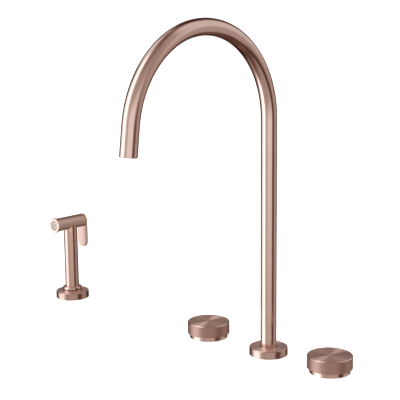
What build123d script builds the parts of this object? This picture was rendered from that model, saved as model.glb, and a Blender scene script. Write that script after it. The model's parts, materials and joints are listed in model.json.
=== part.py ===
from build123d import *
import os
from math import cos, radians, sin

# A four-hole deck-mounted kitchen tap: a swan-neck spout between two quarter-turn
# valves, and a lift-out hand spray. Millimetres. Z is up from the worktop, the spout
# stands at x = y = 0 and pours towards -Y.

# ---- places along the worktop ----
HOT_X = -113.0
COLD_X = 105.0
SPRAY_X = -418.0
DECK = 30.0  # thickness of the worktop that the set is clamped on

# ---- threads ----
SHANK_R = 14.0  # M28 deck thread, the same on all four units
INLET_R = 10.48  # G1/2 male
HOSE_R = 8.33  # G3/8 male
SPRAY_HOSE_R = 6.58  # G1/4 male

# ---- clearances ----
RUN = 0.08  # turning fits
SEAT = 0.02  # pushed or screwed fits
TOUCH = 0.05  # loose screwed fits, and seals beside their walls
PLAY = 0.1  # ends of pieces that lie in a recess
CLEAR = 0.3  # between pieces that move past each other

# ---- what the eye sees ----
FLANGE_R = 26.5
FLANGE_H = 10.6
TUBE_R = 11.0
TUBE_BORE = 9.6
BEND_R = 125.0
BEND_Z = 326.0
BEND_ANGLE = 172.8
TAIL = 36.6  # straight end of the spout, with its aerator
AERATOR_H = 17.4
KNOB_R = 30.3
KNOB_Z = 6.2
KNOB_TOP = 22.9
KNOB_EDGE = 0.9
RING_R = 27.0
RING_H = 5.9
COLLAR_R = 15.2
COLLAR_TOP = 13.4
FOOT_TOP = 18.0
FOOT_EDGE = 0.8
EDGE = 0.5  # chamfer of the polished rings' edges
HEAD_Z = 123.8  # axis of the spray head
HEAD_R = 10.6
HEAD_FRONT = -33.2
HEAD_REAR = 23.1
RIM_R = 12.0
RIM_T = 3.0
PADDLE_Y = 23.6
PADDLE_T = 4.1
PADDLE_FOOT = 79.3

# ---- lever of the hand spray ----
PIN_Y = 20.0
PIN_Z = 115.9
PIN_R = 1.0

# ---- hardware under the worktop ----
WASHER_R = 23.0
RUBBER_T = 3.0
STEEL_T = 2.0
NUT_FLATS = 36.0
NUT_H = 7.0
SHANK_END = -62.0
SPIGOT_TOP = 45.0

# ---- base of the spout and of the spray's holder, under the flange ----
BASE_R = 22.0
BASE_H = 3.2
FLANGE_BORE = BASE_R + CLEAR
FLANGE_FLOOR = 3.4


def turned(x, *outline):
    """A turned piece: a closed outline of (radius, height) points spun about a vertical axis at x."""
    face = make_face(Polyline(*[(r, 0, z) for r, z in outline], close=True))
    return Pos(x, 0, 0) * revolve(face, Axis.Z)


def turned_along(*outline):
    """A turned piece of the spray head: (radius, y) points spun about the head's axis."""
    face = make_face(Polyline(*[(r, y, 0) for r, y in outline], close=True))
    return Pos(SPRAY_X, 0, HEAD_Z) * revolve(face, Axis.Y)


def ring(x, inner, outer, low, high):
    return turned(x, (inner, low), (outer, low), (outer, high), (inner, high))


def rod(x, radius, low, high):
    return turned(x, (0, low), (radius, low), (radius, high), (0, high))


def block(x0, x1, y0, y1, z0, z1):
    """A box between two opposite corners, whichever way round they are given."""
    middle = ((x0 + x1) / 2, (y0 + y1) / 2, (z0 + z1) / 2)
    return Pos(*middle) * Box(abs(x1 - x0), abs(y1 - y0), abs(z1 - z0))


def rod_along_x(x, z, radius, length, y=0):
    """A rod that runs along X from x; a negative length runs it the other way."""
    return Pos(x + length / 2, y, z) * Rot(0, 90, 0) * Cylinder(radius, abs(length))


def rod_along_y(x, y, z, radius, length):
    """A rod that runs along Y, centred at y."""
    return Pos(x, y, z) * Rot(90, 0, 0) * Cylinder(radius, length)


def hexagon(x, flats, low, high, chamfer):
    """Hexagonal bar across flats, its corners turned off at both ends."""
    bar = Pos(x, 0, low) * extrude(RegularPolygon(flats / 2, 6, major_radius=False), high - low)
    corner = flats / 2 / cos(radians(30))
    edge = (corner, low + chamfer), (corner, high - chamfer)
    blank = turned(x, (0, low), (corner - 2 * chamfer, low), *edge, (corner - 2 * chamfer, high), (0, high))
    return bar & blank


def o_ring(x, z, inner, outer):
    section = (outer - inner) / 2
    return Pos(x, 0, z) * Torus(inner + section, section)


def coil(radius, wire, turns, length):
    """A coil spring standing on the origin, of one unbroken wire."""
    path = Helix(pitch=length / turns, height=length, radius=radius)
    start = Plane(origin=path @ 0, z_dir=path % 0)
    return sweep(start * RegularPolygon(wire, 6), path)


# ================= pieces that all four units share =================

UNITS = (SPRAY_X, HOT_X, 0.0, COLD_X)
GROOVE_IN = 16.0  # seal groove under each flange
GROOVE_OUT = 20.0
GROOVE_DEPTH = 2.0


def seal_groove(x):
    return ring(x, GROOVE_IN, GROOVE_OUT, -1, GROOVE_DEPTH)


def deck_seals():
    inside, outside, top = GROOVE_IN + PLAY, GROOVE_OUT - PLAY, GROOVE_DEPTH - PLAY
    return Compound([ring(x, inside, outside, 0, top) for x in UNITS])


def rubber_washers():
    top = -DECK
    return Compound([ring(x, SHANK_R + 0.2, WASHER_R, top - RUBBER_T, top) for x in UNITS])


def steel_washers():
    top = -DECK - RUBBER_T
    return Compound([ring(x, SHANK_R + 0.2, WASHER_R - 1, top - STEEL_T, top) for x in UNITS])


def lock_nuts():
    top = -DECK - RUBBER_T - STEEL_T
    nuts = []
    for x in UNITS:
        bore = rod(x, SHANK_R + TOUCH, top - NUT_H - 1, top + 1)
        nuts.append(hexagon(x, NUT_FLATS, top - NUT_H, top, 1.2) - bore)
    return Compound([nut.solid() for nut in nuts])


# ================= spout =================

SHOULDER_R = 17.0  # step of the base inside the flange
SLIDE_Z = 6.4  # top of that step, where the slide ring lies
SLIDE_T = 1.2
CLIP_Z = 16.0  # groove of the snap ring
CLIP_H = 3.0
CLIP_ROOT = 8.3
SEAL_ZS = (26.0, 36.0)  # grooves of the two O-rings
SEAL_H = 3.0
SEAL_ROOT = 7.9
WATER_R = 6.5
TEE_SOCKET_R = 10.85  # the tee screws up into the shank
TEE_SOCKET_TOP = -45.0


def spout_shank():
    """Fixed brass tube: deck thread and base below, sealed swivel spigot above."""
    spigot = TUBE_BORE - RUN
    shank = turned(
        0, (TEE_SOCKET_R, SHANK_END), (SHANK_R, SHANK_END), (SHANK_R, 0), (BASE_R, 0),
        (BASE_R, BASE_H), (SHOULDER_R, BASE_H), (SHOULDER_R, SLIDE_Z), (spigot, SLIDE_Z),
        (spigot, SPIGOT_TOP - 1), (spigot - 1, SPIGOT_TOP), (WATER_R, SPIGOT_TOP),
        (WATER_R, TEE_SOCKET_TOP), (TEE_SOCKET_R, TEE_SOCKET_TOP),
    )
    beyond = TUBE_BORE + 1
    clip_groove = ring(0, CLIP_ROOT, beyond, CLIP_Z, CLIP_Z + CLIP_H)
    seal_grooves = [ring(0, SEAL_ROOT, beyond, z, z + SEAL_H) for z in SEAL_ZS]
    return shank - seal_groove(0) - clip_groove - seal_grooves[0] - seal_grooves[1]


def spout_flange():
    """Cover ring screwed down over the base, with a dark gap where the tube enters."""
    lid = FLANGE_H - 2.5
    mouth = TUBE_R + 0.45
    screwed = SHOULDER_R + TOUCH
    return turned(
        0, (FLANGE_BORE, 0), (FLANGE_R, 0), (FLANGE_R, FLANGE_H - EDGE), (FLANGE_R - EDGE, FLANGE_H),
        (mouth, FLANGE_H), (mouth, lid), (screwed, lid), (screwed, FLANGE_FLOOR),
        (FLANGE_BORE, FLANGE_FLOOR),
    )


def bearing_ring():
    return ring(0, TUBE_BORE + PLAY, 13.5, SLIDE_Z, SLIDE_Z + SLIDE_T)


def snap_ring():
    """Split nylon ring that holds the spout down: it sits half in the spigot, half in the tube."""
    whole = ring(0, CLIP_ROOT + PLAY, TUBE_BORE + 0.35, CLIP_Z + PLAY, CLIP_Z + CLIP_H - PLAY)
    split = block(CLIP_ROOT - 1, TUBE_BORE + 1, -1.5, 1.5, CLIP_Z - 1, CLIP_Z + CLIP_H + 1)
    return whole - split


def spout_o_rings():
    inner, outer = SEAL_ROOT + TOUCH, TUBE_BORE - TOUCH
    return Compound([o_ring(0, z + SEAL_H / 2, inner, outer).solid() for z in SEAL_ZS])


def tail_plane():
    """Plane at the end of the bend, looking down the flow."""
    angle = radians(BEND_ANGLE)
    origin = (0, -BEND_R + BEND_R * cos(angle), BEND_Z + BEND_R * sin(angle))
    return Plane(origin=origin, x_dir=(1, 0, 0), z_dir=(0, -sin(angle), cos(angle)))


def spout_tube():
    """Swan neck bent from one drawn tube, wall 1.4."""
    foot = SLIDE_Z + SLIDE_T + PLAY
    wall = Circle(TUBE_R) - Circle(TUBE_BORE)
    riser = Pos(0, 0, foot) * extrude(wall, BEND_Z - foot)
    bend = revolve(Pos(0, 0, BEND_Z) * wall, Axis((0, -BEND_R, BEND_Z), (1, 0, 0)), BEND_ANGLE)
    tail = extrude(tail_plane() * wall, TAIL - AERATOR_H - PLAY)
    clip_groove = ring(0, TUBE_BORE - 1, TUBE_BORE + 0.5, CLIP_Z - 0.2, CLIP_Z + CLIP_H + 0.2)
    return riser + bend + tail - clip_groove


# ---- aerator, in heights along the tail ----
AERATOR_BORE = 8.7
LIP_R = 8.2
LIP_T = 1.2
INSERT_FOOT = TAIL - 12


def on_tail(piece):
    return tail_plane().location * piece


def aerator_housing():
    """Screwed into the tube's end: only a fine seam shows."""
    seam = TAIL - AERATOR_H
    thread_r = TUBE_BORE - TOUCH
    thread_end = seam - 9
    return on_tail(turned(
        0, (AERATOR_BORE, thread_end), (thread_r, thread_end), (thread_r, seam), (TUBE_R, seam),
        (TUBE_R, TAIL - EDGE), (TUBE_R - EDGE, TAIL), (LIP_R, TAIL), (LIP_R, TAIL - LIP_T),
        (AERATOR_BORE, TAIL - LIP_T),
    ))


def aerator_insert():
    """Plastic flow straightener: a honeycomb of channels behind the lip."""
    outside, nose = AERATOR_BORE - TOUCH, LIP_R - PLAY
    step = TAIL - LIP_T - PLAY
    tip = step + 0.6
    body = turned(
        0, (0, INSERT_FOOT), (outside, INSERT_FOOT), (outside, step), (nose, step), (nose, tip), (0, tip),
    )
    holes = [Pos(x, y, INSERT_FOOT) * Cylinder(1.15, 40) for x, y in honeycomb(3.3, 2)]
    return on_tail(body - holes)


def honeycomb(pitch, rings):
    """Centres of a hexagonal grid of this many rings round a middle one."""
    spots = [(0.0, 0.0)]
    for step in range(1, rings + 1):
        for side in range(6):
            for k in range(step):
                a, b = radians(60 * side), radians(60 * side + 120)
                spots.append((pitch * (step * cos(a) + k * cos(b)), pitch * (step * sin(a) + k * sin(b))))
    return spots


def aerator_washer():
    return on_tail(ring(0, 6, AERATOR_BORE - TOUCH, INSERT_FOOT - 2, INSERT_FOOT - TOUCH))


# ---- tee and diverter under the spout ----
TEE_R = 16.0
TEE_FOOT = -88.0
TEE_ARM_Z = -78.0
TEE_OUTLET_L = 12.0
TEE_OUTLET_BORE = 5.0
NIPPLE_L = 13.5
NIPPLE_BORE = 4.6
DIVERTER_R = 8.0
DIVERTER_SEAT = -70.0
PISTON_Z = DIVERTER_SEAT + 1.6
PISTON_T = 2.0
CAGE_Z = -53.0
CAGE_T = 3.0
SPRING_END = 0.6  # from a spring's last wire centre to what it presses on


def inlet_tee():
    """Joins the hot and cold hoses under the spout, and feeds the hand spray's hose."""
    spigot = TEE_SOCKET_R - TOUCH
    spigot_top = TEE_SOCKET_TOP - 1
    end = TEE_FOOT - TEE_OUTLET_L
    body = turned(
        0, (TEE_OUTLET_BORE, end), (SPRAY_HOSE_R, end), (SPRAY_HOSE_R, TEE_FOOT), (TEE_R, TEE_FOOT),
        (TEE_R, SHANK_END), (spigot, SHANK_END), (spigot, spigot_top), (DIVERTER_R, spigot_top),
        (DIVERTER_R, DIVERTER_SEAT), (TEE_OUTLET_BORE, DIVERTER_SEAT),
    )
    arms = [nipple(side * 4, TEE_ARM_Z, side, TEE_R - 2.5) for side in (-1, 1)]
    chambers = rod(0, DIVERTER_R, DIVERTER_SEAT, spigot_top) + rod(0, TEE_OUTLET_BORE, end, DIVERTER_SEAT)
    for arm, bore in arms:
        body = body + (arm - chambers) - bore
    return body


def nipple(x, z, side, shoulder):
    """A hose nipple that points along X from x, with a round shoulder, and the bore through it."""
    length = shoulder + NIPPLE_L
    thread = rod_along_x(x, z, HOSE_R, side * length)
    collar = rod_along_x(x, z, HOSE_R + 1.6, side * shoulder)
    bore = rod_along_x(x, z, NIPPLE_BORE, side * (length + 1))
    return thread + collar, bore


def diverter_piston():
    """Drops onto its seat when the hand spray opens; line pressure lifts it for the spout."""
    head, guide = DIVERTER_R - CLEAR, 2.4
    shoulder, top = PISTON_Z + PISTON_T, -51
    return turned(
        0, (0, PISTON_Z), (head, PISTON_Z), (head, shoulder), (guide, shoulder), (guide, top), (0, top),
    )


def diverter_seal():
    return ring(0, 3, DIVERTER_R - 0.4, DIVERTER_SEAT + TOUCH, PISTON_Z)


def diverter_cage():
    """Guide spider pushed into the tee's top."""
    top = CAGE_Z + CAGE_T
    cage = ring(0, 2.5, DIVERTER_R - SEAT, CAGE_Z, top)
    slots = [Rot(0, 0, 60 * k) * block(3.8, 6.8, -1.4, 1.4, CAGE_Z - 1, top + 1) for k in range(6)]
    return cage - slots


def diverter_spring():
    foot = PISTON_Z + PISTON_T + SPRING_END
    return Pos(0, 0, foot) * coil(4.4, 0.5, 4, CAGE_Z - SPRING_END - foot)


# ================= valves, hot and cold =================

VALVE_TOP = 5.4
BODY_R = 17.0
BODY_TOP = -44.0
BODY_FOOT = -72.0
INLET_FOOT = -86.0
INLET_BORE = 4.0
VALVE_BORE = 9.6  # thread of the cartridge
THREAD_FOOT = -1.0
CHAMBER_R = 11.6  # water chamber round the standpipe
CHAMBER_FOOT = -62.0
STANDPIPE_R = 8.0
STANDPIPE_TOP = -13.0
STANDPIPE_BORE = 6.2
OUTLET_Z = -56.0

DISC_R = 8.0
DISC_T = 3.0
DISC_TOP = -5.0  # top of the upper disc; the lower one lies under it
CEILING = -1.7  # of the cartridge's chamber
HEX_FLATS = 22.0
HEX_TOP = 9.4
NECK_END = 12.6

STEM_R = 4.0
STEM_TOP = 19.5
STEM_FLAT = 3.3  # half the width across the stem's two flats
STEM_GROOVE_Z = 3.0
STEM_GROOVE_H = 1.6
STEM_GROOVE_R = 3.0
PORT_IN = 2.2  # the discs' two ports, from and to these distances
PORT_OUT = 6.0
PORT_HALF = 3.0
PEG_X = 5.6
PEG_R = 0.9

CAP = KNOB_TOP - 2.5  # underside of the knob's top
HUB_R = 9.5
HUB_BORE = 6.9
HUB_FOOT = 13.3
SOCKET_FOOT = 13.0
SCREW_Z = 16.5
SCREW_R = 2.0
SCREW_L = 6.0


def valve_body(x, side):
    """Brass body hung through the worktop: inlet below, standpipe, outlet nipple towards the spout."""
    body = turned(
        x, (INLET_BORE, INLET_FOOT), (INLET_R, INLET_FOOT), (INLET_R, BODY_FOOT), (BODY_R, BODY_FOOT),
        (BODY_R, BODY_TOP), (SHANK_R, BODY_TOP), (SHANK_R, VALVE_TOP), (VALVE_BORE, VALVE_TOP),
        (VALVE_BORE, THREAD_FOOT), (CHAMBER_R, THREAD_FOOT), (CHAMBER_R, CHAMBER_FOOT),
        (STANDPIPE_R, CHAMBER_FOOT), (STANDPIPE_R, STANDPIPE_TOP), (STANDPIPE_BORE, STANDPIPE_TOP),
        (STANDPIPE_BORE, STANDPIPE_TOP - 7), (INLET_BORE, STANDPIPE_TOP - 9),
    )
    arm, bore = nipple(x + side * 12.5, OUTLET_Z, side, 6)
    chamber = rod(x, CHAMBER_R, CHAMBER_FOOT, BODY_TOP)
    into_chamber = rod_along_x(x + side * 9, OUTLET_Z, NIPPLE_BORE, side * 4)
    return body + (arm - chamber) - bore - into_chamber


def base_ring(x):
    """Polished ring under the knob, screwed on the body's top to clamp it."""
    return ring(x, SHANK_R + SEAT, RING_R, 0, RING_H) - seal_groove(x)


def cartridge(x):
    """Quarter-turn ceramic cartridge housing, with two side windows for the water."""
    chamber, skirt = DISC_R + RUN, 9.3
    thread, thread_foot = VALVE_BORE - TOUCH, THREAD_FOOT - 0.2
    corner, neck, bore = 12, 6.6, STEM_R + RUN
    foot = STANDPIPE_TOP + PLAY
    shell = turned(
        x, (chamber, foot), (skirt, foot), (skirt, thread_foot), (thread, thread_foot),
        (thread, VALVE_TOP), (corner, VALVE_TOP), (corner, HEX_TOP), (neck, HEX_TOP), (neck, NECK_END),
        (bore, NECK_END), (bore, CEILING), (chamber, CEILING),
    )
    nut = hexagon(x, HEX_FLATS, VALVE_TOP, HEX_TOP, 0.8)
    outside = rod(x, 20, -20, VALVE_TOP) + nut + rod(x, 8, HEX_TOP - 0.1, 20)
    windows = block(x - 3.5, x + 3.5, -12, 12, CEILING - 2.9, CEILING - 0.5)
    return (shell & outside) - windows


def stem(x):
    """Turns with the knob; two pegs drive the upper disc. The head has two flats."""
    foot, plate_top = DISC_TOP + PLAY, CEILING - PLAY
    groove_top = STEM_GROOVE_Z + STEM_GROOVE_H
    shaft = turned(
        x, (0, foot), (DISC_R, foot), (DISC_R, plate_top), (STEM_R, plate_top), (STEM_R, STEM_GROOVE_Z),
        (STEM_GROOVE_R, STEM_GROOVE_Z), (STEM_GROOVE_R, groove_top), (STEM_R, groove_top),
        (STEM_R, STEM_TOP - EDGE), (STEM_R - EDGE, STEM_TOP), (0, STEM_TOP),
    )
    flow = [block(x - PORT_HALF, x + PORT_HALF, 3.6 * s, 9 * s, foot - 1, CEILING) for s in (-1, 1)]
    flats = [block(x - 5, x + 5, STEM_FLAT * s, 6 * s, SOCKET_FOOT, STEM_TOP + 1) for s in (-1, 1)]
    pegs = [Pos(x + PEG_X * s, 0, DISC_TOP - 0.6) * Cylinder(PEG_R, 1.6) for s in (-1, 1)]
    return shaft - flow - flats + pegs


def stem_o_ring(x):
    return o_ring(x, STEM_GROOVE_Z + STEM_GROOVE_H / 2, STEM_GROOVE_R + TOUCH, STEM_R + SEAT)


def moving_disc(x):
    disc = rod(x, DISC_R, DISC_TOP - DISC_T, DISC_TOP)
    for s in (-1, 1):
        disc -= block(x - PORT_HALF, x + PORT_HALF, PORT_IN * s, PORT_OUT * s, -9, -4)
        disc -= Pos(x + PEG_X * s, 0, DISC_TOP - 0.5) * Cylinder(PEG_R + TOUCH, 3)
    return disc


def fixed_disc(x):
    """Its ports lie a quarter turn from the upper disc's, so the valve is shut at rest."""
    joint = DISC_TOP - DISC_T
    disc = rod(x, DISC_R, joint - DISC_T, joint - 0.03)
    for s in (-1, 1):
        disc -= block(x + PORT_IN * s, x + PORT_OUT * s, -PORT_HALF, PORT_HALF, -12, -7)
    return disc


def seat_seals():
    top = DISC_TOP - 2 * DISC_T
    return Compound([ring(x, 6.5, DISC_R, STANDPIPE_TOP + PLAY, top) for x in (HOT_X, COLD_X)])


def knob(x):
    """Turned cup with a wide flat spun top and a hub that takes the stem's adapter."""
    inside = KNOB_R - 2.8
    cup = turned(
        x, (inside, KNOB_Z), (KNOB_R, KNOB_Z), (KNOB_R, KNOB_TOP - KNOB_EDGE),
        (KNOB_R - KNOB_EDGE, KNOB_TOP), (0, KNOB_TOP), (0, CAP), (HUB_BORE, CAP), (HUB_BORE, HUB_FOOT),
        (HUB_R, HUB_FOOT), (HUB_R, CAP), (inside, CAP),
    )
    return cup - rod_along_y(x, 18, SCREW_Z, SCREW_R, 28)


def knob_adapter(x):
    """Plastic bush between the knob's hub and the stem's flats."""
    flat = STEM_FLAT + SEAT
    socket_top = STEM_TOP + PLAY
    socket = rod(x, STEM_R + SEAT, SOCKET_FOOT, socket_top)
    socket &= block(x - 5, x + 5, -flat, flat, SOCKET_FOOT, socket_top)
    bush = rod(x, HUB_BORE - SEAT, HUB_FOOT, CAP - PLAY)
    return bush - socket - rod_along_y(x, 6, SCREW_Z, SCREW_R, SCREW_L)


def grub_screw(x):
    """M4 screw behind the knob that pinches the stem's flat, with a hexagon socket."""
    tip = STEM_FLAT + PLAY
    body = rod_along_y(x, tip + SCREW_L / 2, SCREW_Z, SCREW_R - SEAT, SCREW_L)
    key = extrude(RegularPolygon(1, 6, major_radius=False), 2.2)
    return body - Pos(x, tip + SCREW_L, SCREW_Z) * Rot(90, 0, 0) * key


# ================= holder of the hand spray =================

SLEEVE_BORE = 12.0
COLLAR_BORE = 13.0
COLLAR_SEAT = 0.8  # floor of the recess that the collar is screwed into
RECESS_R = COLLAR_R - 0.6
PLUG_R = 10.0  # guided part of the spray's plug, inside the collar
PLUG_END = -18.0
SEAM = COLLAR_TOP + CLEAR  # where the spray's foot meets the collar


def holder_shank():
    """Threaded sleeve with a wide base, recessed on top for the collar."""
    return turned(
        SPRAY_X, (SLEEVE_BORE, SHANK_END), (SHANK_R, SHANK_END), (SHANK_R, 0), (BASE_R, 0),
        (BASE_R, BASE_H), (RECESS_R, BASE_H), (RECESS_R, COLLAR_SEAT), (SLEEVE_BORE, COLLAR_SEAT),
    ) - seal_groove(SPRAY_X)


def holder_collar():
    """Polished collar screwed into the sleeve's base: the spray's foot rests on it."""
    spigot = RECESS_R - SEAT
    return turned(
        SPRAY_X, (COLLAR_BORE, COLLAR_SEAT), (spigot, COLLAR_SEAT), (spigot, BASE_H), (COLLAR_R, BASE_H),
        (COLLAR_R, COLLAR_TOP - EDGE), (COLLAR_R - EDGE, COLLAR_TOP), (COLLAR_BORE, COLLAR_TOP),
    )


def holder_flange():
    mouth = COLLAR_R + SEAT
    return turned(
        SPRAY_X, (FLANGE_BORE, 0), (FLANGE_R, 0), (FLANGE_R, FLANGE_H - EDGE), (FLANGE_R - EDGE, FLANGE_H),
        (mouth, FLANGE_H), (mouth, FLANGE_FLOOR), (FLANGE_BORE, FLANGE_FLOOR),
    )


def holder_liner():
    """Plastic guide bush that keeps the foot from scratching."""
    outside, inside = COLLAR_BORE - TOUCH, PLUG_R + CLEAR
    low, high = COLLAR_SEAT + PLAY, COLLAR_TOP - 0.2
    return turned(
        SPRAY_X, (inside, low), (outside, low), (outside, high), (inside + 0.6, high), (inside, high - 0.8),
    )


# ================= hand spray =================

NECK_R = 8.45  # thread of the plug, inside the handle
NECK_TOP = 30.0
PLUG_BORE = 5.5
SWIVEL_BORE = 7.1  # socket that the hose's nipple turns in
SWIVEL_TOP = -4.0
SWIVEL_GROOVE_R = 5.8
SWIVEL_GROOVE_Z = -13.0
SWIVEL_GROOVE_H = 2.4


def spray_foot():
    """Polished ring that rests on the collar, held between the handle and the plug's shoulder."""
    bore = NECK_R + SEAT
    return turned(
        SPRAY_X, (bore, SEAM), (COLLAR_R - EDGE, SEAM), (COLLAR_R, SEAM + EDGE),
        (COLLAR_R, FOOT_TOP - FOOT_EDGE), (COLLAR_R - FOOT_EDGE, FOOT_TOP), (bore, FOOT_TOP),
    )


def spray_plug():
    """Screwed up into the handle; its shoulder guides the spray in the collar, its end holds the hose."""
    slim = 8.6
    return turned(
        SPRAY_X, (SWIVEL_BORE, PLUG_END), (slim - 0.4, PLUG_END), (slim, PLUG_END + 1.5), (slim, 3),
        (PLUG_R - 0.2, 6), (PLUG_R, SEAM), (NECK_R, SEAM), (NECK_R, NECK_TOP), (PLUG_BORE, NECK_TOP),
        (PLUG_BORE, SWIVEL_TOP), (SWIVEL_BORE, SWIVEL_TOP),
    )


def hose_swivel():
    """Nipple for the hose: the spray turns on it, and it does not turn with the spray."""
    bore, spigot, flange_r = 4, SWIVEL_BORE - RUN, 8.4
    flange_top, top = PLUG_END - CLEAR, SWIVEL_TOP - 1
    body = turned(
        SPRAY_X, (bore, -38), (SPRAY_HOSE_R, -38), (SPRAY_HOSE_R, -24), (flange_r, -24),
        (flange_r, flange_top), (spigot, flange_top), (spigot, top), (bore, top),
    )
    groove_top = SWIVEL_GROOVE_Z + SWIVEL_GROOVE_H
    return body - ring(SPRAY_X, SWIVEL_GROOVE_R, SWIVEL_BORE + 1, SWIVEL_GROOVE_Z, groove_top)


def swivel_o_ring():
    middle = SWIVEL_GROOVE_Z + SWIVEL_GROOVE_H / 2
    return o_ring(SPRAY_X, middle, SWIVEL_GROOVE_R + TOUCH, SWIVEL_BORE - 0.06)


def spray_handle():
    """Straight tube, saddled on top to the head."""
    bore = NECK_R + TOUCH
    shoulder, top = 110, HEAD_Z - 0.8
    tube = turned(
        SPRAY_X, (bore, FOOT_TOP), (TUBE_R, FOOT_TOP), (TUBE_R, shoulder), (HEAD_R - TOUCH, top),
        (bore, top),
    )
    saddle = HEAD_R + SEAT
    return tube - turned_along((0, -40), (saddle, -40), (saddle, 40), (0, 40))


# ---- inside the spray head, in distances along its axis ----
RIM_SOCKET_R = 9.2
SEAT_Y = -14.0  # step that the valve's seat is pushed against
WALL_Y = 14.0  # rear wall of the water chamber, with a pocket for the rod's seal
POCKET_END = 16.0
WATER_CHAMBER_R = 8.4
ROD_R = 1.5
FACE_R = 7.95
FACE_FRONT = -32.45
FACE_BACK = -31.3
MAT_BACK = -30.3
RETAINER_BACK = -26.0
BALL_R = 1.4
BALL_Y = 25.3


def spray_head():
    """Barrel across the handle's top: valve bore in front, lever slot under its rear end."""
    front, rod_bore, pocket_r = HEAD_FRONT + RIM_T, ROD_R + TOUCH, 3
    barrel = turned_along(
        (RIM_SOCKET_R, front), (HEAD_R, front), (HEAD_R, HEAD_REAR - 0.3), (HEAD_R - 0.3, HEAD_REAR),
        (rod_bore, HEAD_REAR), (rod_bore, POCKET_END), (pocket_r, POCKET_END), (pocket_r, WALL_Y),
        (WATER_CHAMBER_R, WALL_Y), (WATER_CHAMBER_R, SEAT_Y), (RIM_SOCKET_R, SEAT_Y),
    )
    water_way = rod(SPRAY_X, 6, 105, HEAD_Z - 7)
    slot = block(SPRAY_X - 4.3, SPRAY_X + 4.3, 16.6, 30, 110, 118.5)
    relief = block(SPRAY_X - 12, SPRAY_X + 12, 22.3, 30, 110, PIN_Z)
    pin_hole = rod_along_x(SPRAY_X - 12, PIN_Z, PIN_R + SEAT, 24, PIN_Y)
    return barrel - water_way - slot - relief - pin_hole


def rim_ring():
    """Bright front ring, screwed into the barrel, that holds the spray face."""
    front, thread_r = HEAD_FRONT, RIM_SOCKET_R - TOUCH
    lip_r, bore, lip = 7.5, 8, front + 0.7
    return turned_along(
        (lip_r, front), (RIM_R - EDGE, front), (RIM_R, front + EDGE), (RIM_R, front + RIM_T),
        (thread_r, front + RIM_T), (thread_r, -24), (bore, -24), (bore, lip), (lip_r, lip),
    )


def nozzle_spots():
    """Centres of the teats: one in the middle and three rings round it."""
    spots = [(0.0, 0.0)]
    for radius, count in ((2.1, 6), (4.2, 11), (6.2, 16)):
        for k in range(count):
            angle = radians(360 / count * k)
            spots.append((radius * cos(angle), radius * sin(angle)))
    return spots


def at_nozzles(y, radius, length):
    """A short rod along Y at every nozzle, centred at y."""
    return [rod_along_y(SPRAY_X + x, y, HEAD_Z + z, radius, length) for x, z in nozzle_spots()]


def spray_face():
    plate = turned_along((0, FACE_FRONT), (FACE_R, FACE_FRONT), (FACE_R, FACE_BACK), (0, FACE_BACK))
    return plate - at_nozzles(-32, 0.62, 4)


def nozzle_mat():
    """Soft mat whose teats stand through the face, so scale can be rubbed off."""
    front = FACE_BACK + SEAT
    mat = turned_along((0, front), (FACE_R, front), (FACE_R, MAT_BACK), (0, MAT_BACK))
    return mat + at_nozzles(-31.9, 0.55, 1.8)


def ring_along(inner, outer, front, back):
    return turned_along((inner, front), (outer, front), (outer, back), (inner, back))


def mat_retainer():
    return ring_along(6.6, FACE_R + 0.03, MAT_BACK + TOUCH, RETAINER_BACK)


def valve_seat():
    return ring_along(4.5, RIM_SOCKET_R - TOUCH, SEAT_Y - 2.5, SEAT_Y - SEAT)


def spray_stem():
    """Pull rod: a button and washer at the seat, a ball end held by the lever."""
    button, neck, plate = 2.8, 0.85, 5
    neck_y = BALL_Y - 2.4
    shaft = turned_along(
        (0, SEAT_Y - 1.4), (button, SEAT_Y - 1.4), (button, SEAT_Y), (ROD_R, SEAT_Y),
        (ROD_R, SEAT_Y + 2.5), (plate, SEAT_Y + 2.5), (plate, SEAT_Y + 3.8), (ROD_R, SEAT_Y + 3.8),
        (ROD_R, neck_y), (neck, neck_y), (neck, BALL_Y), (0, BALL_Y),
    )
    return shaft + Pos(SPRAY_X, BALL_Y, HEAD_Z) * Sphere(BALL_R)


def stem_washer():
    return ring_along(ROD_R + SEAT, 6.5, SEAT_Y + TOUCH, SEAT_Y + 2.5 - SEAT)


def stem_seal():
    """O-ring in the rear wall round the pull rod."""
    return Pos(SPRAY_X, (WALL_Y + POCKET_END) / 2, HEAD_Z) * Rot(90, 0, 0) * Torus(2.28, 0.7)


def spray_spring():
    foot = SEAT_Y + 3.8 + SPRING_END
    return Pos(SPRAY_X, foot, HEAD_Z) * Rot(-90, 0, 0) * coil(4.2, 0.5, 7, WALL_Y - SPRING_END - foot)


def lever_pin():
    length = 13.0
    return rod_along_x(SPRAY_X - length / 2, PIN_Z, PIN_R, length, PIN_Y)


def lever():
    """Paddle behind the handle: squeezed, it rocks on its pin and pulls the ball end back."""
    top = HEAD_Z + HEAD_R
    middle = (top + PADDLE_FOOT) / 2
    outline = SlotOverall(top - PADDLE_FOOT, 2 * HEAD_R, rotation=90)
    paddle = Pos(SPRAY_X, PADDLE_Y + PADDLE_T, middle) * Rot(90, 0, 0) * extrude(outline, PADDLE_T)
    paddle = fillet(paddle.edges(), 0.6)
    half = 4  # half the width of the lug and its web
    lug = rod_along_x(SPRAY_X - half, PIN_Z, 2.2, 2 * half, PIN_Y)
    web = block(SPRAY_X - half, SPRAY_X + half, PIN_Y, PADDLE_Y + 0.5, PIN_Z - 2, PIN_Z + 1.8)
    pin_hole = rod_along_x(SPRAY_X - 5, PIN_Z, PIN_R + RUN, 10, PIN_Y)
    return paddle + lug + web - pin_hole - ball_pocket()


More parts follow.
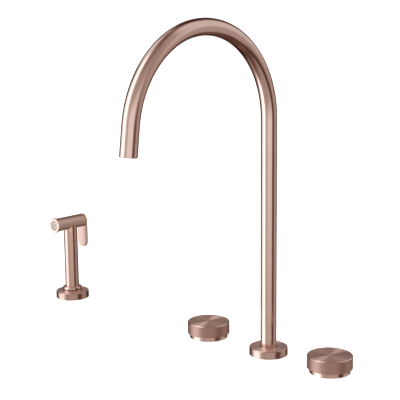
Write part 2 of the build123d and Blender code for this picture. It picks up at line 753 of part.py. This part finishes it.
def ball_pocket():
    """Keyhole in the paddle: the ball drops in below and is held behind the lips."""
    lip = PADDLE_Y + 0.7
    back = PADDLE_Y + PADDLE_T - 0.85
    wide, narrow = BALL_R + 0.2, 1.05
    x, z = SPRAY_X, HEAD_Z
    foot = z - 3.4
    pocket = block(x - wide, x + wide, lip, back, foot, z + 2.9)
    slot = block(x - narrow, x + narrow, PADDLE_Y - 1, lip, foot, z + 2.4)
    entry = rod_along_y(x, lip, foot, wide, 2.4)
    return pocket + slot + entry


# ================= write every piece =================

ONCE = (
    deck_seals, rubber_washers, steel_washers, lock_nuts,
    spout_shank, spout_flange, bearing_ring, snap_ring, spout_o_rings, spout_tube,
    aerator_housing, aerator_insert, aerator_washer,
    inlet_tee, diverter_piston, diverter_seal, diverter_cage, diverter_spring,
    seat_seals,
    holder_shank, holder_collar, holder_flange, holder_liner,
    spray_foot, spray_plug, hose_swivel, swivel_o_ring, spray_handle, spray_head,
    rim_ring, spray_face, nozzle_mat, mat_retainer, valve_seat,
    spray_stem, stem_washer, stem_seal, spray_spring, lever_pin, lever,
)
PER_VALVE = (
    base_ring, cartridge, stem, stem_o_ring, moving_disc, fixed_disc, knob, knob_adapter, grub_screw,
)

pieces = {make.__name__: make() for make in ONCE}
for name, x, side in (("hot", HOT_X, 1), ("cold", COLD_X, -1)):
    pieces[f"{name}_valve_body"] = valve_body(x, side)
    for make in PER_VALVE:
        pieces[f"{name}_{make.__name__}"] = make(x)

os.makedirs("parts", exist_ok=True)
for name, piece in pieces.items():
    export_step(piece, f"parts/{name}.step")
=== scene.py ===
import bmesh
import bpy
import json
from math import ceil, cos, pi, radians, sin
from mathutils import Matrix, Vector

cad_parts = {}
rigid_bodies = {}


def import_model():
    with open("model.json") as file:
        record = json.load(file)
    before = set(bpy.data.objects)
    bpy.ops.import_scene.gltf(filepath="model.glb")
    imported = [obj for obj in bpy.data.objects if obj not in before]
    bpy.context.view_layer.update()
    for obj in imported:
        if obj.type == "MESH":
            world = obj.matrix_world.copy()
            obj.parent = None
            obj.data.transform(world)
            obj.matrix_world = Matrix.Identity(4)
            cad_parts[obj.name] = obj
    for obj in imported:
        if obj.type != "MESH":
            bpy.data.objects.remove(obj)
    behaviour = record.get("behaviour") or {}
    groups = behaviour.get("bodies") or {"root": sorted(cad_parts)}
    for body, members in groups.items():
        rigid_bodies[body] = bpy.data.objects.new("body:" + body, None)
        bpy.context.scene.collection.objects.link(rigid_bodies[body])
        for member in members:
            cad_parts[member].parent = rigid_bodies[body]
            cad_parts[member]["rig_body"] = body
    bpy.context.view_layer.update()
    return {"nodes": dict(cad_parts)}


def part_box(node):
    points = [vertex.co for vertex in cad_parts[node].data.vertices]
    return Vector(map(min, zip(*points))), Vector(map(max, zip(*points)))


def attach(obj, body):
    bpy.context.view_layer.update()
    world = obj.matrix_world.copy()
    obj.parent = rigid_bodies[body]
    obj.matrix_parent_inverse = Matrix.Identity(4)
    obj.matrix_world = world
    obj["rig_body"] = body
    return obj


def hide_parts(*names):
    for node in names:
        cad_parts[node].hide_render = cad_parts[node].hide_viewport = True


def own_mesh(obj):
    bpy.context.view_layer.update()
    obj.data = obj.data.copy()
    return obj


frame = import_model()
nodes = frame["nodes"]


# ---- camera ----
# It stands in front of the worktop, to the right of the row of units, and looks down at them a
# little. The whole set is in view.
CAMERA_AT = (0.92417, -1.10346, 0.50977)
CAMERA_YAW = radians(43.624)
CAMERA_PITCH = radians(11.517)
CAMERA_ROLL = radians(-0.601)
CAMERA_LENS = 98.33
SENSOR_WIDTH = 36


def put_in_scene(name, data):
    thing = bpy.data.objects.new(name, data)
    bpy.context.scene.collection.objects.link(thing)
    return thing


camera = put_in_scene("camera", bpy.data.cameras.new("camera"))
camera.data.sensor_width = SENSOR_WIDTH
camera.data.lens = CAMERA_LENS
level_share = cos(CAMERA_PITCH)
look = Vector((-sin(CAMERA_YAW) * level_share, cos(CAMERA_YAW) * level_share, -sin(CAMERA_PITCH)))
level_right = Vector((cos(CAMERA_YAW), sin(CAMERA_YAW), 0))
level_up = level_right.cross(look)
right = cos(CAMERA_ROLL) * level_right + sin(CAMERA_ROLL) * level_up
up = cos(CAMERA_ROLL) * level_up - sin(CAMERA_ROLL) * level_right
turn = Matrix((right, up, -look)).transposed()
camera.matrix_world = Matrix.Translation(CAMERA_AT) @ turn.to_4x4()
bpy.context.scene.camera = camera


# ---- hardware under the worktop ----
# Each unit is clamped by a brass hexagon nut, a steel washer and a rubber washer on its threaded
# shank. The brass is left bare, because nobody sees it.
class Wire:
    """One socket of a material. Arithmetic adds Math nodes, and node() adds any other kind."""

    def __init__(self, tree, socket=None):
        self.tree = tree
        self.socket = socket

    def node(self, kind, settings=None, sockets=None, out=0):
        made = self.tree.nodes.new(kind)
        for key, value in (settings or {}).items():
            setattr(made, key, value)
        for key, value in (sockets or {}).items():
            self.put(made.inputs[key], value)
        return Wire(self.tree, made.outputs[out] if len(made.outputs) else None)

    def put(self, target, value):
        if isinstance(value, Wire):
            self.tree.links.new(value.socket, target)
        else:
            target.default_value = value

    def maths(self, operation, *values):
        return self.node("ShaderNodeMath", {"operation": operation}, dict(enumerate(values)))

    def __add__(self, other):
        return self.maths("ADD", self, other)

    def __sub__(self, other):
        return self.maths("SUBTRACT", self, other)

    def __rsub__(self, other):
        return self.maths("SUBTRACT", other, self)

    def __mul__(self, other):
        return self.maths("MULTIPLY", self, other)

    __radd__ = __add__
    __rmul__ = __mul__


def new_finish(name, **fixed):
    """A material with its shader's fixed values set, and a wire to build the rest from."""
    material = bpy.data.materials.new(name)
    material.use_nodes = True
    shader = material.node_tree.nodes["Principled BSDF"]
    for socket, value in fixed.items():
        shader.inputs[socket.replace("_", " ").title().replace("Ior", "IOR")].default_value = value
    return material, shader, Wire(material.node_tree)


def place(wire):
    """Where a point of the surface is, as x, y and z in metres."""
    spot = wire.node("ShaderNodeTexCoord", out="Object")
    return [spot.node("ShaderNodeSeparateXYZ", None, {0: spot}, out=axis) for axis in "XYZ"]


def vector(x, y, z):
    source = next(v for v in (x, y, z) if isinstance(v, Wire))
    return source.node("ShaderNodeCombineXYZ", None, {0: x, 1: y, 2: z})


def noise(at, scale, detail=2.0, roughness=0.5):
    settings = {"Vector": at, "Scale": scale, "Detail": detail, "Roughness": roughness}
    return at.node("ShaderNodeTexNoise", None, settings)


def blend(factor, first, second):
    """A colour that goes from first to second."""
    return factor.node(
        "ShaderNodeMix", {"data_type": "RGBA"}, {0: factor, 6: (*first, 1), 7: (*second, 1)}, out=2)


def dress(finish, *names):
    """Give CAD pieces one finish, and shade them smooth."""
    for name in names:
        piece = nodes[name]
        piece.data.materials.clear()
        piece.data.materials.append(finish)
        for polygon in piece.data.polygons:
            polygon.use_smooth = True


def bare_brass():
    finish, shader, wire = new_finish("bare_brass", metallic=1.0)
    tarnish = noise(vector(*place(wire)), scale=90, detail=4, roughness=0.6)
    wire.put(shader.inputs["Base Color"], blend(tarnish, (0.80, 0.62, 0.33), (0.62, 0.46, 0.22)))
    wire.put(shader.inputs["Roughness"], 0.26 + 0.16 * tarnish)
    return finish


def stainless():
    finish, shader, wire = new_finish("stainless", metallic=1.0)
    x, y, z = place(wire)
    lines = noise(vector(x * 40, y * 40, z * 2500), scale=1.0)
    wire.put(shader.inputs["Base Color"], blend(lines, (0.60, 0.59, 0.57), (0.70, 0.69, 0.67)))
    wire.put(shader.inputs["Roughness"], 0.22 + 0.14 * lines)
    return finish


def black_rubber():
    finish, shader, wire = new_finish("black_rubber")
    bloom = noise(vector(*place(wire)), scale=300, detail=4, roughness=0.6)
    wire.put(shader.inputs["Base Color"], blend(bloom, (0.020, 0.020, 0.021), (0.050, 0.050, 0.052)))
    wire.put(shader.inputs["Roughness"], 0.60 + 0.2 * bloom)
    return finish


brass = bare_brass()
steel = stainless()
rubber = black_rubber()
dress(brass, "lock_nuts")
dress(steel, "steel_washers")
dress(rubber, "rubber_washers", "deck_seals")


# ---- threads ----
# The CAD pieces have plain rods where the real ones are screw-cut. Each is replaced by a copy whose
# rods are wound with the helical groove that a die leaves, with crest, flanks and root.
M28 = (0.014, 0.0015)  # radius over the crests, and pitch
G_HALF = (0.01048, 0.001814)
G_THREE_EIGHTHS = (0.00833, 0.001337)
G_QUARTER = (0.00658, 0.001337)
THREAD_SIDES = 48
THREAD_DEPTH = 0.61  # of the pitch
THREAD_SHAPE = ((0, 0), (1 / 8, 0), (7 / 16, 1), (11 / 16, 1))  # along one pitch, and how deep
ROD_FIT = 0.00004  # how far a corner of the rod's side may be off its radius
END_FIT = 0.00002  # and past its ends
SIDE_TILT = 0.1  # how far the side's normals may lean along the rod
SAME_POINT = 0.000002
SHARP_EDGE = radians(30)

SHANK_ENDS = (-0.062, 0)  # heights of the long thread on a shank
TEE_OUTLET_ENDS = (-0.1, -0.088)
TEE_ARM_ENDS = (0.0175, 0.031)  # either way from the tee's middle
TEE_ARM_Z = -0.078
HOSE_ENDS = (-0.038, -0.024)


def strip_rod(shape, start, end, radius):
    """Take the round side of a rod out of a mesh."""
    length = (end - start).length
    axis = (end - start).normalized()

    def on_side(corner):
        along = (corner.co - start).dot(axis)
        off_axis = (corner.co - start - along * axis).length
        return abs(off_axis - radius) < ROD_FIT and -END_FIT < along < length + END_FIT

    side = [face for face in shape.faces
            if abs(face.normal.dot(axis)) < SIDE_TILT and all(on_side(corner) for corner in face.verts)]
    bmesh.ops.delete(shape, geom=side, context="FACES")


def wind_thread(shape, start, end, radius, pitch):
    """Add the side of a threaded rod. Its rows of points follow the helix and run out at both ends."""
    axis = (end - start).normalized()
    across = axis.orthogonal().normalized()
    third = axis.cross(across)
    length = (end - start).length
    rows = []
    for winding in range(-1, ceil(length / pitch) + 1):
        for share, deep in THREAD_SHAPE:
            row = []
            for k in range(THREAD_SIDES + 1):
                angle = 2 * pi * k / THREAD_SIDES
                along = min(length, max(0, (winding + share + k / THREAD_SIDES) * pitch))
                run_out = min(1, along / pitch, (length - along) / pitch)
                reach = radius - deep * THREAD_DEPTH * pitch * run_out
                row.append(shape.verts.new(
                    start + along * axis + reach * (cos(angle) * across + sin(angle) * third)))
            rows.append(row)
    for row, after in zip(rows, rows[1:]):
        for k in range(THREAD_SIDES):
            shape.faces.new((row[k], row[k + 1], after[k + 1], after[k]))


def stand_in(name, mesh):
    """Put a mesh in the place of a CAD node, on the node's body and in its finish."""
    piece = put_in_scene(mesh.name, mesh)
    mesh.materials.clear()
    mesh.materials.append(nodes[name].data.materials[0])
    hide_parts(name)
    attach(piece, nodes[name]["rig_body"])
    return piece


def cut_threads(name, *rods):
    """Replace a brass node by a copy with threads on its rods: start and end, and what thread."""
    shape = bmesh.new()
    shape.from_mesh(nodes[name].data)
    for start, end, (radius, pitch) in rods:
        strip_rod(shape, Vector(start), Vector(end), radius)
        wind_thread(shape, Vector(start), Vector(end), radius, pitch)
    bmesh.ops.remove_doubles(shape, verts=shape.verts, dist=SAME_POINT)
    mesh = bpy.data.meshes.new(name + "_threaded")
    shape.to_mesh(mesh)
    shape.free()
    mesh.set_sharp_from_angle(angle=SHARP_EDGE)
    stand_in(name, mesh)


def upright(x, ends):
    """Both ends of a rod that stands at this x."""
    low, high = ends
    return (x, 0, low), (x, 0, high)


def sideways(x, z, side, ends):
    """Both ends of a rod that points to the right of this x where side is 1, to its left where -1."""
    near, far = ends
    return (x + side * near, 0, z), (x + side * far, 0, z)


def middle_x(name):
    low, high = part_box(name)
    return (low.x + high.x) / 2


SPRAY_X = middle_x("holder_flange")
dress(brass, "spout_shank", "inlet_tee", "holder_shank", "hose_swivel")
hose_arms = [(*sideways(0, TEE_ARM_Z, side, TEE_ARM_ENDS), G_THREE_EIGHTHS) for side in (-1, 1)]
cut_threads("spout_shank", (*upright(0, SHANK_ENDS), M28))
cut_threads("inlet_tee", (*upright(0, TEE_OUTLET_ENDS), G_QUARTER), *hose_arms)
cut_threads("holder_shank", (*upright(SPRAY_X, SHANK_ENDS), M28))
cut_threads("hose_swivel", (*upright(SPRAY_X, HOSE_ENDS), G_QUARTER))


def wind_spring(name):
    mesh = nodes[name].data.copy()
    mesh.name = name + "_wound"
    spring = stand_in(name, mesh)
    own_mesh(spring)


dress(steel, "diverter_spring", "spray_spring")
wind_spring("diverter_spring")
wind_spring("spray_spring")


# ---- valves ----
# A brass body and cartridge under each knob, with two ceramic discs that slide on each other, and
# nylon bushes where the knob goes on.
BODY_ENDS = (-0.044, 0.0054)
INLET_ENDS = (-0.086, -0.072)
OUTLET_ENDS = (0.0185, 0.032)  # towards the spout, from the valve's middle
OUTLET_Z = -0.056


def white_nylon():
    finish, shader, wire = new_finish("white_nylon", subsurface_weight=0.15, subsurface_scale=0.001)
    cloud = noise(vector(*place(wire)), scale=120, detail=3)
    wire.put(shader.inputs["Base Color"], blend(cloud, (0.86, 0.85, 0.81), (0.80, 0.79, 0.75)))
    wire.put(shader.inputs["Roughness"], 0.38 + 0.12 * cloud)
    return finish


def ceramic():
    finish, shader, wire = new_finish("ceramic")
    speck = noise(vector(*place(wire)), scale=900)
    wire.put(shader.inputs["Base Color"], blend(speck, (0.93, 0.92, 0.90), (0.87, 0.86, 0.84)))
    wire.put(shader.inputs["Roughness"], 0.16 + 0.1 * speck)
    return finish


nylon = white_nylon()
discs = ceramic()
for side, towards_spout in (("hot", 1), ("cold", -1)):
    dress(brass, f"{side}_valve_body", f"{side}_cartridge", f"{side}_stem")
    x = middle_x(f"{side}_knob")
    cut_threads(
        f"{side}_valve_body", (*upright(x, BODY_ENDS), M28), (*upright(x, INLET_ENDS), G_HALF),
        (*sideways(x, OUTLET_Z, towards_spout, OUTLET_ENDS), G_THREE_EIGHTHS))
    dress(rubber, f"{side}_stem_o_ring")
    dress(discs, f"{side}_moving_disc", f"{side}_fixed_disc")
    dress(nylon, f"{side}_knob_adapter")
    dress(steel, f"{side}_grub_screw")
dress(rubber, "seat_seals")


# ---- knobs ----
# A wide flat cup, turned from brass and coated in rose copper. Its top is faced on the lathe, which
# leaves rings that spread the light into fans, and its side is brushed upwards. The ring under it is
# polished.
COPPER = (0.63, 0.445, 0.385)
COPPER_SUNK = (0.56, 0.38, 0.32)
QUARTER_TURN = 0.25
LEVEL_TOP = (0.99, 1.01)  # heights that the normals of a level top have
ROUNDED_EDGE = (0.3, 0.97)


def copper_coat(name, marks, roughness, spread=0.0, metal=1.0, level=1.0, deep=1.0):
    """Rose copper over fine marks, given as the scale along x, y and z on which they vary. Where it
    spreads, the marks draw highlights out across them. Where it is only partly metal, the coat is a
    satin one that also scatters light. Its colour carries painted light and shade: level paints it
    lighter on lit faces and darker on shaded ones, and deep, a power on the colour, paints it darker
    and redder, as light that bounces more than once in its marks would come out."""
    finish, shader, wire = new_finish(
        name, metallic=metal, anisotropic=spread, anisotropic_rotation=QUARTER_TURN if spread else 0.0)
    x, y, z = place(wire)
    lines = noise(vector(*marks(x, y, z)), scale=1.0, detail=3, roughness=0.6)
    cloud = noise(vector(x, y, z), scale=45)
    # level and deep paint light and shade into the coat's colour
    raised, sunk = ([level * part ** deep for part in colour] for colour in (COPPER, COPPER_SUNK))
    wire.put(shader.inputs["Base Color"], blend(lines * 0.5 + cloud * 0.5, raised, sunk))
    wire.put(shader.inputs["Roughness"], roughness + 0.08 * lines)
    bump = wire.node("ShaderNodeBump", None, {"Height": lines, "Strength": 0.2, "Distance": 0.000005})
    wire.put(shader.inputs["Normal"], bump)
    return finish


def rings_about(centre):
    """Marks that the lathe leaves round an upright axis at this x."""
    def marks(x, y, z):
        across = x - centre
        radius = across.maths("SQRT", across * across + y * y)
        return radius * 5200, z * 5200, across * 12
    return marks


def upright_lines(x, y, z):
    return x * 2600, y * 2600, z * 60


def finish_faces(name, finish, normals):
    """Give the faces whose normals' height lies between these two a finish of their own."""
    low, high = normals
    piece = nodes[name]
    piece.data.materials.append(finish)
    slot = len(piece.data.materials) - 1
    for polygon in piece.data.polygons:
        if low < polygon.normal.z < high:
            polygon.material_index = slot


for side in ("hot", "cold"):
    name = f"{side}_knob"
    rings = rings_about(middle_x(name))
    # The side's colour is painted darker and redder as shade, and the top's painted lighter as lit.
    brushed_and_painted_shade = copper_coat(
        name + "_side", upright_lines, roughness=0.54, spread=0.72, metal=0.9, level=0.88, deep=1.35)
    faced_and_painted_light = copper_coat(
        name + "_top", rings, roughness=0.40, spread=0.9, metal=0.9, level=1.2, deep=1.1)
    dress(brushed_and_painted_shade, name)
    finish_faces(name, copper_coat(name + "_edge", rings, roughness=0.14), ROUNDED_EDGE)
    finish_faces(name, faced_and_painted_light, LEVEL_TOP)
    dress(copper_coat(f"{side}_ring_polish", rings, roughness=0.10), f"{side}_base_ring")


# ---- spout ----
# One drawn brass tube bent into a swan neck, brushed round the tube and coated, in a turned cover
# ring. A fine seam near the end is where the aerator's housing is screwed in.
def lines_round_tube(x, y, z):
    """Brush lines round a tube that is bent in the plane x = 0."""
    return x * 30, y * 1800, z * 1800


rings = rings_about(0)
# Painted light and shade: the flange's top is painted lighter as lit, its side darker as shaded, and the
# tube's colour is scaled a little by its level and deep.
tube = copper_coat("tube_brushed", lines_round_tube, roughness=0.13, level=0.95, deep=0.9)
flange_top_painted_light = copper_coat("flange_top_painted_light", rings, roughness=0.34, spread=0.9, metal=0.9, level=1.3)
dress(tube, "spout_tube", "aerator_housing")
dress(copper_coat("flange_side_painted_shade", rings, roughness=0.18, level=0.85), "spout_flange")
finish_faces("spout_flange", flange_top_painted_light, LEVEL_TOP)
dress(rubber, "spout_o_rings", "aerator_washer", "diverter_seal")
dress(nylon, "bearing_ring", "snap_ring", "aerator_insert", "diverter_piston", "diverter_cage")


# ---- hand spray ----
# A straight handle saddled to a barrel, with a paddle behind it, a bright rim in front, and a foot
# that plugs into its holder on the worktop. The seam between foot and holder is a dark line of
# painted shade on the faces that slope into it.
SLOPES_UP = (0.3, 1.01)
SLOPES_DOWN = (-1.01, -0.3)
HEAD_Z = 0.1238
DARK_RINGS = (0.0062, 0.0021)  # radii
RING_EDGE = (0.0007, 0.0011)  # from a ring's middle: where it stops being dark, and where cream starts
RING_DARK = (0.09, 0.08, 0.06, 1)

rings = rings_about(SPRAY_X)
# The holder's top is painted lighter as lit, and its side darker and redder as shaded.
holder_top_painted_light = copper_coat("holder_top_painted_light", rings, roughness=0.34, spread=0.9, metal=0.9, level=1.3)
dress(copper_coat("holder_side_painted_shade", rings, roughness=0.18, level=0.85, deep=1.2), "holder_flange")
finish_faces("holder_flange", holder_top_painted_light, LEVEL_TOP)

# Painted shade: the faces that slope into the seam are coated near black, as the gap's shadow.
seam = copper_coat("seam_painted_shade", rings, roughness=0.5, level=0.08)
dress(copper_coat("collar_polish", rings, roughness=0.08), "holder_collar", "spray_foot")
finish_faces("holder_collar", seam, SLOPES_UP)
finish_faces("spray_foot", seam, SLOPES_DOWN)

# Each of these coats is painted a little darker by its level, standing in for less light on that piece.
handle = copper_coat("handle_brushed", lines_round_tube, roughness=0.13, level=0.92, deep=1.05)
head = copper_coat("head_brushed", lines_round_tube, roughness=0.34, metal=0.85, level=0.88, deep=1.1)
dress(handle, "spray_handle")
dress(head, "spray_head")
dress(copper_coat("paddle_satin", lines_round_tube, roughness=0.30, metal=0.8, level=0.9), "lever")
dress(copper_coat("rim_polish", lines_round_tube, roughness=0.10, level=0.85), "rim_ring")


def cream_plastic():
    """Cream plate that is dark round the outer and the inner of its three rings of nozzles."""
    finish, shader, wire = new_finish("cream_plastic")
    x, y, z = place(wire)
    grain = noise(vector(x, y, z), scale=400, detail=3)
    across = x - SPRAY_X
    above = z - HEAD_Z
    radius = across.maths("SQRT", across * across + above * above)
    off_outer, off_inner = (across.maths("ABSOLUTE", radius - ring) for ring in DARK_RINGS)
    off_ring = off_outer.maths("MINIMUM", off_outer, off_inner)
    plate = off_ring.node("ShaderNodeMapRange", {"interpolation_type": "SMOOTHSTEP"}, {
        0: off_ring, 1: RING_EDGE[0], 2: RING_EDGE[1], 3: 0.0, 4: 1.0})
    cream = blend(grain, (0.97, 0.88, 0.74), (0.93, 0.83, 0.68))
    colour = plate.node(
        "ShaderNodeMix", {"data_type": "RGBA"}, {0: plate, 6: RING_DARK, 7: cream}, out=2)
    wire.put(shader.inputs["Base Color"], colour)
    wire.put(shader.inputs["Roughness"], 0.30 + 0.12 * grain)
    return finish


def grey_silicone():
    finish, shader, wire = new_finish("grey_silicone")
    grain = noise(vector(*place(wire)), scale=500, detail=3)
    wire.put(shader.inputs["Base Color"], blend(grain, (0.62, 0.56, 0.47), (0.54, 0.48, 0.40)))
    wire.put(shader.inputs["Roughness"], 0.5 + 0.15 * grain)
    return finish


dress(cream_plastic(), "spray_face")
dress(grey_silicone(), "nozzle_mat")
dress(nylon, "holder_liner", "mat_retainer", "valve_seat")
dress(rubber, "swivel_o_ring", "stem_seal", "stem_washer")
dress(brass, "spray_plug", "spray_stem")
dress(steel, "lever_pin")


# ---- studio dome ----
# What the metal mirrors, and nothing else sees: a tall window in front on the left with a curtain
# beside it, a pale room in front on the right, a pale door behind that, and dim warm walls behind.
DOME_RADIUS = 8.0
DOME_STEP = 4  # degrees
DOME_DIM = 0.16


def warm(level):
    """Light off a wall of wood and plaster: the dimmer it is, the redder."""
    return Vector((level, level ** 1.35, level ** 1.5))


def plain(level):
    return Vector((level, level, level))


def daylight(level):
    """Light from outside, a little bluer than the room's."""
    return Vector((level, level * 1.08, level * 1.14))


bearings = range(-180, 180, DOME_STEP)
heights = range(-88, 92, DOME_STEP)
glow = {(bearing, height): warm(DOME_DIM) for bearing in bearings for height in heights}


def soft_step(past, softness):
    """How far past a soft edge a point is: 0 outside, 1 inside."""
    t = min(1.0, max(0.0, past / softness + 0.5))
    return t * t * (3 - 2 * t)


def hang_card(left, right, low, high, soft, rise, colour):
    """Lay a card over the dome between two bearings and two heights, with soft sides and a soft top
    and bottom, all in degrees. 1 is white."""
    for (bearing, height), behind in glow.items():
        off_middle = abs((bearing - (left + right) / 2 + 180) % 360 - 180)
        inside = soft_step((right - left) / 2 - off_middle, soft)
        inside *= soft_step(height - low, rise) * soft_step(high - height, rise)
        glow[bearing, height] = behind.lerp(colour, inside)


hang_card(-180, 180, 60, 82, 14, 20, warm(0.38))  # edge of the ceiling
hang_card(146, 190, -80, 30, 10, 16, warm(0.06))  # dark corner behind on the left
hang_card(146, 190, 38, 66, 16, 16, warm(0.65))  # dim wall above it
hang_card(170, 210, 34, 72, 16, 16, plain(1.2))  # ceiling beside the window
hang_card(104, 144, -60, 66, 14, 14, warm(0.10))  # unlit corner behind
hang_card(116, 144, 4, 16, 8, 8, plain(0.62))  # low wall behind
hang_card(-174, -112, -74, -30, 12, 24, warm(0.42))  # lit floor under the window
hang_card(-166, -150, -28, 60, 8, 26, plain(1.0))  # frame of the window
hang_card(-98, 1, -58, 58, 14, 34, warm(0.62))  # room
hang_card(-72, -4, -14, 22, 24, 24, plain(1.28))  # its lit middle
hang_card(-3, 32, -60, 1, 8, 8, warm(0.15))  # low dark wall on the right
hang_card(1, 30, 3, 72, 10, 12, warm(0.58))  # far wall on the right
hang_card(28, 74, -44, 68, 14, 20, warm(0.66))  # pale door on the right
hang_card(33, 89, 7, 72, 16, 14, plain(0.96))  # its lit upper part
hang_card(-112, -85, -32, 66, 12, 50, plain(0.96))  # curtain
hang_card(-148, -103, -48, 68, 10, 24, daylight(2.4))  # window


def dome_mesh():
    """A ball of points at the cards' bearings and heights, each painted with its glow."""
    corners = []
    faces = []
    across = len(bearings)
    upwards = len(heights)
    for height in heights:
        for bearing in bearings:
            reach = DOME_RADIUS * cos(radians(height))
            corners.append((reach * cos(radians(bearing)), reach * sin(radians(bearing)),
                            DOME_RADIUS * sin(radians(height))))
    for row in range(upwards - 1):
        for k in range(across):
            after = (k + 1) % across
            faces.append((row * across + k, row * across + after,
                          (row + 1) * across + after, (row + 1) * across + k))
    faces += [range(across), range(across * (upwards - 1), across * upwards)]
    mesh = bpy.data.meshes.new("studio_dome")
    mesh.from_pydata(corners, [], faces)
    paint = mesh.color_attributes.new("glow", "FLOAT_COLOR", "POINT")
    spots = ((bearing, height) for height in heights for bearing in bearings)
    for spot, point in zip(spots, paint.data):
        point.color = (*glow[spot], 1)
    return mesh


def new_light(name):
    """A finish that only shines."""
    return new_finish(name, base_color=(0, 0, 0, 1), specular_ior_level=0.0, emission_strength=1.0)


def dome_light():
    finish, shader, wire = new_light("dome_light")
    wire.put(shader.inputs["Emission Color"], wire.node("ShaderNodeAttribute", {"attribute_name": "glow"}))
    return finish


def show_in_mirrors_only(piece):
    piece.visible_camera = False
    piece.visible_diffuse = False
    piece.visible_shadow = False
    piece.visible_transmission = False
    piece.visible_volume_scatter = False


dome = put_in_scene("studio_dome", dome_mesh())
dome.data.materials.append(dome_light())
show_in_mirrors_only(dome)


# ---- sleeves under the worktop ----
# Metal that mirrors the dome past the worktop would show its neighbours' brass below it too. A sleeve
# stands round each unit's brass, seen only from outside and only in reflections, as a dim wall.
SLEEVE_R = 0.0245
SLEEVE_SIDES = 48
SLEEVE_LOW = -0.110
SLEEVE_HIGH = -0.0005
SLEEVE_GLOW = 0.2


def sleeve_light():
    finish, shader, wire = new_light("sleeve_light")
    shader.inputs["Emission Color"].default_value = (*warm(SLEEVE_GLOW), 1)
    from_inside = wire.node("ShaderNodeNewGeometry", out="Backfacing")
    clear = wire.node("ShaderNodeBsdfTransparent")
    one_way = wire.node("ShaderNodeMixShader", None, {
        0: from_inside, 1: Wire(wire.tree, shader.outputs[0]), 2: clear})
    wire.put(wire.tree.nodes["Material Output"].inputs["Surface"], one_way)
    return finish


def sleeve_mesh():
    shape = bmesh.new()
    middle_z = (SLEEVE_LOW + SLEEVE_HIGH) / 2
    for x in (SPRAY_X, middle_x("hot_knob"), 0, middle_x("cold_knob")):
        bmesh.ops.create_cone(
            shape, cap_ends=True, segments=SLEEVE_SIDES, radius1=SLEEVE_R, radius2=SLEEVE_R,
            depth=SLEEVE_HIGH - SLEEVE_LOW, matrix=Matrix.Translation((x, 0, middle_z)))
    mesh = bpy.data.meshes.new("sleeves")
    shape.to_mesh(mesh)
    shape.free()
    return mesh


sleeves = put_in_scene("sleeves", sleeve_mesh())
sleeves.data.materials.append(sleeve_light())
show_in_mirrors_only(sleeves)


# ---- worktop ----
# A plain pale sheet at the height the units stand on. It keeps their shadow, and the metal doesn't
# mirror it, because in the photograph the same room shows down to the lowest rings.
WORKTOP_SIZE = 60.0
WORKTOP_LIFT = 0.5  # how much the camera sees it lighter, so that it goes into the white behind it
WORKTOP_GAP = 0.0002  # under the units' flat undersides


def seen(wire):
    """1 on the rays that show a thing: straight, in a mirror or through glass."""
    kinds = ("Camera", "Glossy", "Transmission")
    straight, mirrored, through = (
        wire.node("ShaderNodeLightPath", out=f"Is {kind} Ray") for kind in kinds)
    return wire.maths("MAXIMUM", straight, wire.maths("MAXIMUM", mirrored, through))


def pale_worktop():
    finish, shader, wire = new_finish("pale_worktop", roughness=0.9, specular_ior_level=0.0)
    grain = noise(vector(*place(wire)), scale=3)
    wire.put(shader.inputs["Base Color"], blend(grain, (0.93, 0.93, 0.93), (0.91, 0.91, 0.91)))
    wire.put(shader.inputs["Emission Color"], blend(seen(wire), (0, 0, 0), (1, 1, 1)))
    shader.inputs["Emission Strength"].default_value = WORKTOP_LIFT
    return finish


half = WORKTOP_SIZE / 2
mesh = bpy.data.meshes.new("worktop")
corners = [(-half, -half, 0), (half, -half, 0), (half, half, 0), (-half, half, 0)]
mesh.from_pydata(corners, [], [(0, 1, 2, 3)])
mesh.materials.append(pale_worktop())
worktop = put_in_scene("worktop", mesh)
worktop.location.z = -WORKTOP_GAP
worktop.visible_glossy = False


# ---- light ----
# One wide round lamp overhead on the left, which gives the soft shadow and isn't mirrored, and a
# white world that fills in from all sides.
LAMP_WIDTH = 2.4
LAMP_POWER = 30
LAMP_AT = (-0.8, -0.9, 2.6)
LAMP_AIM = Vector((-0.15, 0, 0.1))
WORLD_LEVEL = 0.9  # on the object; the camera sees the world as full white

lamp = put_in_scene("overhead", bpy.data.lights.new("overhead", "AREA"))
lamp.data.shape = "DISK"
lamp.data.size = LAMP_WIDTH
lamp.data.energy = LAMP_POWER
lamp.location = LAMP_AT
lamp.rotation_euler = (LAMP_AIM - lamp.location).to_track_quat("-Z", "Y").to_euler()
lamp.visible_glossy = False

world = bpy.data.worlds.new("studio")
bpy.context.scene.world = world
world.use_nodes = True
world.node_tree.nodes.clear()
wire = Wire(world.node_tree)
strength = WORLD_LEVEL + (1 - WORLD_LEVEL) * seen(wire)
light = wire.node("ShaderNodeBackground", None, {"Color": (1, 1, 1, 1), "Strength": strength})
wire.node("ShaderNodeOutputWorld", None, {"Surface": light})
bpy.context.scene.view_settings.view_transform = "Standard"
